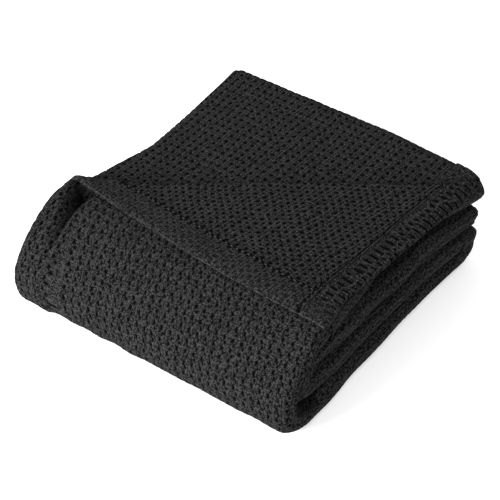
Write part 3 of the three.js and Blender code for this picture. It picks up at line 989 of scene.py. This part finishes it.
# %% [markdown]
# The turned corner shows the cloth's reverse side. It could be a copy of the top that is mirrored at
# the crease. Counting its points from the tip along its two hems is better, since the hems then have the
# same width all along. Past the crease they bend round the roll, down to the layer below.

# %% Where the turned corner lies
FLAP_STEP = 1.3
HEM_DRAWN_IN = 10
END_DRAWN_IN = 9
front_side = CREASE_LEFT - TIP
right_side = CREASE_RIGHT - TIP
front_side_length = np.linalg.norm(front_side)
right_side_length = np.linalg.norm(right_side)
corner_sine = abs(front_side[0] * right_side[1] - front_side[1] * right_side[0])
corner_sine = corner_sine / front_side_length / right_side_length


def steps_from_tip(side_length):
    """Distances along a side, close together at the tip and on to a little past the crease."""
    return np.concatenate([[0, 0.25, 0.8, 1.6], np.arange(2.7, side_length * 1.07, FLAP_STEP)])


A, B = np.meshgrid(steps_from_tip(front_side_length), steps_from_tip(right_side_length), indexing="ij")
share_front, share_right = A / front_side_length, B / right_side_length


def skin_height(y, lift):
    """Height of the stack's top skin, lifted, over the flat and round the front turn."""
    radius = STACK_TOP - Z_MIDDLE + lift
    past = np.clip(Y_FRONT - y, 0, radius)
    return Z_MIDDLE + np.sqrt(radius**2 - past**2)


def flap_middle(share_front, share_right):
    """Middle of the turned corner's cloth, before it settles."""
    s = tip_s * (1 - share_front - share_right) + share_right * crease_length
    q = tip_q * (1 - share_front - share_right)
    radius = roll_radius(np.maximum(s, 0))
    swing = np.clip((radius - q) / radius, 0, np.pi)
    rolled = q < radius
    q_now = np.where(rolled, radius - radius * np.sin(swing), q)
    bow = FRONT_BOW * np.sin(np.pi * np.clip(share_front, 0, 1)) * (1 - np.clip(share_right, 0, 1)) ** 2
    from_right = share_front * front_side_length
    from_front = share_right * right_side_length
    drawn_in = HEM_DRAWN_IN * smooth(0, 60, from_front) * (1 - smooth(0, 65, from_right))
    drawn_in = drawn_in + END_DRAWN_IN * smooth(0.83, 1.02, share_right) * (1 - smooth(0, 40, from_right))
    plan = CREASE_LEFT + s[..., None] * along_crease + q_now[..., None] * towards_tip
    plan[..., 1] -= bow
    plan[..., 0] -= drawn_in
    distance = np.hypot(s, np.maximum(q - radius, 0))
    radius_here = np.where(rolled, radius, roll_radius(distance))
    height_share = np.where(rolled, (1 + np.cos(swing)) / 2, 1)
    edge_lift = rim_lift(from_front, np.zeros_like(s)) * (1 - smooth(0, 60, s))
    lift = -CLOTH / 2 + edge_lift * (1 - height_share) + 2 * radius_here * height_share
    lift = lift + EDGE_CURL * (1 - smooth(0, 16, from_front)) * height_share
    z = skin_height(plan[..., 1], lift)
    past = np.maximum(0, plan[..., 0] - SHOULDER_X)
    z = z - TIP_DROOP * np.minimum(past / SHOULDER_RADIUS, 1) ** 2 * height_share
    bend = smooth(DEPTH - 160, DEPTH - 40, plan[..., 1]) / SHOULDER_RADIUS + 1e-4
    z = z - (1 - np.cos(past * bend)) / bend
    plan[..., 0] = plan[..., 0] - past + np.sin(past * bend) / bend
    lowest = (np.pi - 1) * radius
    return np.concatenate([plan, z[..., None]], -1), q > -lowest, s, q


middle, kept, s, q = flap_middle(share_front, share_right)
print("turned corner", round(front_side_length), "by", round(right_side_length), "mm along its hems")

# %% [markdown]
# Two wide hems lie along the corner's free edges, a little thicker than the cloth. The right one has
# fine slanted strokes and a thin ridge at its inner edge. Strips of cloth could be laid on, but a real
# hem is the same cloth folded over. So the hems, strokes and grooves are heights added to the weave's.

# %% The corner's hems and weave
RIB_PITCH = 5.75
RIB_DEPTH = 1.3
REVERSE_CELL_ACROSS = 13.0
REVERSE_CELL_ALONG = 11.5
RIGHT_PIPING = 0.5
FRONT_PIPING = 0.25
FRONT_GROOVE = 0.65
RIGHT_GROOVE = 0.6
from_right_hem = A * corner_sine
from_front_hem = B * corner_sine
edge_distance = np.minimum(from_right_hem, from_front_hem)
in_hem = edge_distance < HEM


def hem_profile(distance):
    """A hem's height over the cloth. It falls to its stitch line, which is drawn in a little."""
    return HEM_RISE * (1 - smooth(HEM - 4, HEM + 0.6, distance)) - 0.5 * ridge(distance - HEM - 1.3, 1.6)


def corner_waves(along_front, along_right):
    """Low waves of the turned corner, which is flat at its two hemmed edges."""
    edge_distance = np.minimum(along_front, along_right) * corner_sine
    return 0.6 * lumps(along_front, along_right, 50, 53) * smooth(4, 30, edge_distance)


a = (A + 0.12 * B) / REVERSE_CELL_ACROSS + 0.12 * lumps(A, B, 60, 51)
b = B / REVERSE_CELL_ALONG + 0.12 * lumps(A, B, 60, 52)
relief = basket(a, b, REVERSE_WEAVE)
right_hem = (from_right_hem < HEM - 2) & (from_front_hem > 4)
worn = 0.45 + 0.55 * lumps(A, B, 9, 56) + 0.3 * lumps(B, A, 16, 57)
inner_edge = smooth(HEM - 12, HEM - 6, from_right_hem)
rib_depth = RIB_DEPTH * np.clip(worn, 0.1, 1) * smooth(10, 45, B) * (1 - inner_edge)
ribs = -rib_depth * ridge(from_line(B / RIB_PITCH), 0.22)
a = np.where(right_hem, 0.25 + 0.33 * np.sin(A / 4.6 + 1.2 * lumps(A, B, 26, 55)), a)
b = np.where(right_hem, B / RIB_PITCH / 2 + 0.025 * lumps(A, B, 25, 54), b)
relief = np.where(right_hem, 0.2 + ribs, np.where(in_hem, 0.7 * relief, relief))
hems = np.maximum(hem_profile(from_front_hem), hem_profile(from_right_hem))
hems = np.where(in_hem, HEM_RISE, hems)
piping = RIGHT_PIPING * ridge(from_right_hem - HEM + 1.0, 1.2) * (from_front_hem > 6)
piping = piping + FRONT_PIPING * ridge(from_front_hem - HEM + 2.4, 1.5) * (from_right_hem > HEM - 4)
groove = FRONT_GROOVE * ridge(from_front_hem - HEM - 1.2, 1.6) * (from_right_hem > HEM - 4)
groove = groove + RIGHT_GROOVE * ridge(from_right_hem - HEM - 2.2, 1.6)
edge_turn = np.sqrt(np.clip(1 - (1 - np.clip(edge_distance / EDGE_RADIUS, 0, 1)) ** 2, 0.01, 1))
top = (CLOTH / 2 + hems + relief + piping - groove) * edge_turn
bottom = CLOTH / 2 * edge_turn
print("the corner's upper face is up to", round(top.max(), 1), "mm above its middle")

# %% [markdown]
# The corner's edges are seen from the side, so it needs a real thickness. A solidify modifier could give
# it, but with one thickness for all. Here the upper and the lower face each have a height of their own, and
# walls close them round the edge. Its stitch grooves get painted shade, and a line along the crease gets a
# painted shadow, both darker than the weave's holes.

# %% The turned corner
# How strong the painted shade in the front hem's stitch line and the painted shadow along the crease are.
FRONT_SEAM_PAINTED_SHADE = 1.6
CREASE_PAINTED_SHADOW = 0.9
middle[..., 2] += corner_waves(A, B) * kept
across_grid = np.gradient(middle, axis=1)
along_grid = np.gradient(middle, axis=0)
normal = np.cross(across_grid, along_grid)
normal = normal / np.maximum(np.linalg.norm(normal, axis=-1, keepdims=True), 1e-9)
upper_face = settle(middle + normal * top[..., None])
lower_face = settle(middle - normal * bottom[..., None])


def shell(upper_face, lower_face, keep):
    """Points and faces of a closed body between two grids, with walls round its edge."""
    rows, columns = keep.shape
    faces = grid_faces(rows, columns, keep)
    edges = np.concatenate([faces[:, [i, (i + 1) % 4]] for i in range(4)])
    key = edges[:, 0].astype(np.int64) * rows * columns + edges[:, 1]
    back = edges[:, 1].astype(np.int64) * rows * columns + edges[:, 0]
    border = edges[~np.isin(key, back)]
    far = rows * columns
    walls = np.stack([border[:, 1], border[:, 0], border[:, 0] + far, border[:, 1] + far], -1)
    points = np.concatenate([upper_face.reshape(-1, 3), lower_face.reshape(-1, 3)])
    return points, np.concatenate([faces, faces[:, ::-1] + far, walls])


points, faces = shell(upper_face, lower_face, kept)
cells = np.tile(np.stack([a, b], -1).reshape(-1, 2), (2, 1))
# Painted shade in the two stitch grooves and a painted shadow just inside the crease, through a weave
# strength above 1.
seam_and_crease_shade = FRONT_SEAM_PAINTED_SHADE * ridge(from_front_hem - HEM - 1.4, 2.6) * (from_right_hem > HEM - 4)
seam_and_crease_shade = np.maximum(seam_and_crease_shade, ridge(from_right_hem - HEM - 2.6, 2.4))
seam_and_crease_shade = np.maximum(seam_and_crease_shade, CREASE_PAINTED_SHADOW * ridge(q - roll_radius(s) + 1.0, 1.8) * (s > 25))
hem_strokes = (0.5 + 0.5 * smooth(12, 45, B)) * (1 - 0.6 * inner_edge)
strength = np.where(right_hem, hem_strokes, np.where(in_hem, 0.6, 1.0))
strength = np.where(seam_and_crease_shade > 0.05, 1 + seam_and_crease_shade, strength)
strength = np.tile(strength.reshape(-1), 2)
make_piece("turned_corner", points, faces, cells, strength, REVERSE_COTTON)

# %% [markdown]
# The hems are sewn down with a thread that is lighter than the yarn. A row of stitches lies in the
# groove of each hem, the right hem has a cord along its inner edge, and the front hem's edge is bound.
# They could be painted on, but a real thread casts its own shadow, so each is a thin tube that follows
# the corner's surface. This cell has the thread's material and the tubes.

# %% Thread on the cloth
THREAD_SIDES = 6
TAPER = 0.35
thread_cotton, tree = shader_tree("sewing thread")
thread_paint = add(
    tree,
    "ShaderNodeBsdfPrincipled",
    {"Base Color": (0.045, 0.045, 0.046, 1), "Roughness": 0.9, "Specular IOR Level": 0.1},
)
add(tree, "ShaderNodeOutputMaterial", {"Surface": thread_paint.outputs[0]})


def corner_middle(along_front, along_right):
    """Middle of the turned corner's cloth at distances from its tip, with its waves."""
    points = flap_middle(along_front / front_side_length, along_right / right_side_length)[0]
    points[..., 2] += corner_waves(along_front, along_right)
    return points


def on_corner(along_front, along_right, height):
    """Settled points on the turned corner, at a height above the middle of its cloth."""
    here = corner_middle(along_front, along_right)
    across = corner_middle(along_front, along_right + 0.5) - here
    along = corner_middle(along_front + 0.5, along_right) - here
    normal = np.cross(across, along)
    normal = normal / np.linalg.norm(normal, axis=-1, keepdims=True)
    return settle(here + normal * np.reshape(height, (-1, 1)))


def threads(lines, radius):
    """Points and faces of thin tubes round lines of points, tapered at both ends."""
    points, faces = [], []
    count = 0
    for line in lines:
        ahead = np.gradient(line, axis=0)
        ahead = ahead / np.linalg.norm(ahead, axis=1, keepdims=True)
        side = np.cross(ahead, [0, 0, 1])
        side = side / np.linalg.norm(side, axis=1, keepdims=True)
        up = np.cross(side, ahead)
        taper = np.ones(len(line))
        taper[[0, -1]] = TAPER
        angle = np.arange(THREAD_SIDES) * 2 * np.pi / THREAD_SIDES
        ring = side[:, None] * np.cos(angle)[:, None] + up[:, None] * np.sin(angle)[:, None]
        tube = line[:, None] + radius * taper[:, None, None] * ring
        points.append(tube.reshape(-1, 3))
        number = count + np.arange(tube.shape[0] * THREAD_SIDES).reshape(-1, THREAD_SIDES)
        start, end = number[0], number[-1]
        caps = [start[[3, 2, 1, 0]], start[[5, 4, 3, 0]], end[[0, 1, 2, 3]], end[[0, 3, 4, 5]]]
        faces += [ring_faces(number), np.array(caps)]
        count += tube.shape[0] * THREAD_SIDES
    return np.concatenate(points), np.concatenate(faces)


print("material", thread_cotton.name, "for tubes with", THREAD_SIDES, "sides")

# %% [markdown]
# The real stitches are short and evenly spaced, and their ends go down into the cloth. An array
# modifier along a curve could repeat one of them. A loop along the hem does the same, and each stitch
# then bends with the cloth under it. The two cords are longer tubes of the same kind.

# %% Stitches and cords
STITCH = 5.0
STITCH_PITCH = 8.5
STITCH_HEIGHT = 2.6
THREAD_RADIUS = 0.8
CORD_RADIUS = 1.1
CORD_STEP = 2.5
CORD_HEIGHT = 3.4
EDGE_CORD_HEIGHT = 1.2


def stitch_line(first, last, at, height, on_right):
    """Stitches along one hem, at a distance from its edge. Their ends dip into the cloth."""
    lines = []
    bend = np.array([-0.5, 0.3, 0.3, -0.5])
    for start in np.arange(first, last, STITCH_PITCH):
        along = start + np.linspace(0, STITCH, len(bend))
        across = np.full(len(bend), at / corner_sine)
        pair = (across, along) if on_right else (along, across)
        lines.append(on_corner(*pair, height + bend))
    return lines


hem_reach = HEM / corner_sine
sewn = stitch_line(10, front_side_length - 62, HEM + 0.4, STITCH_HEIGHT, False)
sewn += stitch_line(10, hem_reach, HEM + 1.9, STITCH_HEIGHT, True)
points, faces = threads(sewn, THREAD_RADIUS)
make_piece("stitches", points, faces, np.zeros((len(points), 2)), 0.0, thread_cotton)
cord_along = np.arange(7, right_side_length - 50, CORD_STEP)
cord = on_corner(np.full(len(cord_along), (HEM - 0.4) / corner_sine), cord_along, CORD_HEIGHT)
edge_along = np.arange(1, front_side_length - 14, CORD_STEP)
edge_cord = on_corner(edge_along, np.full(len(edge_along), 0.5), EDGE_CORD_HEIGHT)
# The cords are real raised tubes, and their lighter cotton is a painted highlight on them.
points, faces = threads([cord, edge_cord], CORD_RADIUS)
make_piece("cords", points, faces, np.full((len(points), 2), 0.4), 0.0, CORD_COTTON_PAINTED_LIGHT)

# %% [markdown]
# The back turn is a smaller copy of the front, and the floor face is the same layer pressed flat. The
# photograph shows neither, so they get the front's weave with larger steps, which needs fewer points.

# %% The back turn and the floor face
BACK_STEP = 1.6
FLOOR_STEP = 2.4
BEHIND_EDGE = 12.0
BACK_OVERLAP = 6


def outer_face(name, stops, step, seed, flat_end=None):
    """The outermost layer's face along some stops, from behind the left hem to the right fold, or only
    as far as the flat part's end."""
    line_x, line_n, normal_x, normal_n, from_right = wrap_line(step, BEHIND_EDGE)
    if flat_end:
        use = line_x < flat_end
        use &= np.arange(len(line_x)) < np.argmax(line_x >= flat_end)
        line_x, line_n, normal_x, normal_n, from_right = (
            values[use] for values in (line_x, line_n, normal_x, normal_n, from_right)
        )
    along = run_length(place(stops, WIDTH / 2, STRIP / 2))[:, None]
    x = line_x + edge_shift(stops, from_right)
    from_edge = run_length(np.stack([line_x, line_n], -1))
    on_face = (normal_n > 0.99) & (line_x > EDGE_RADIUS) & (line_x < WIDTH / 2)
    a = from_edge / CELL_ACROSS + 0.12 * lumps(from_edge, along, 60, seed)
    b = along / CELL_ALONG + 0.12 * lumps(from_edge, along, 60, seed + 1)
    uneven = UNEVEN * lumps(from_edge, along, 45, seed + 2) * smooth(0, 30, from_edge)
    raise_by = basket(a, b, FRONT_WEAVE) + uneven
    n = line_n + np.where(on_face, left_hem(line_x), 0)
    points = place(stops, x + normal_x * raise_by, n + normal_n * raise_by)
    cells = np.stack(np.broadcast_arrays(a, b), -1)
    make_piece(name, points, grid_faces(*x.shape)[:, ::-1], cells, 1.0, FRONT_COTTON)


floor_stops = route(FLOOR_FRONT, FLOOR_BACK, FLOOR_STEP)
outer_face("floor_face", floor_stops, FLOOR_STEP, seed=60, flat_end=WIDTH - FOLD_RADIUS - TUCK_IN + 3)
before = route(FLOOR_FRONT, FLOOR_BACK, BACK_STEP)
after = route(LOWER_BACK, LOWER_FRONT, BACK_STEP)
turn = route(FLOOR_BACK, LOWER_BACK, BACK_STEP)
back_stops = np.concatenate([before[-1 - BACK_OVERLAP : -1], turn, after[1 : 1 + BACK_OVERLAP]])
outer_face("back", back_stops, BACK_STEP, seed=70)
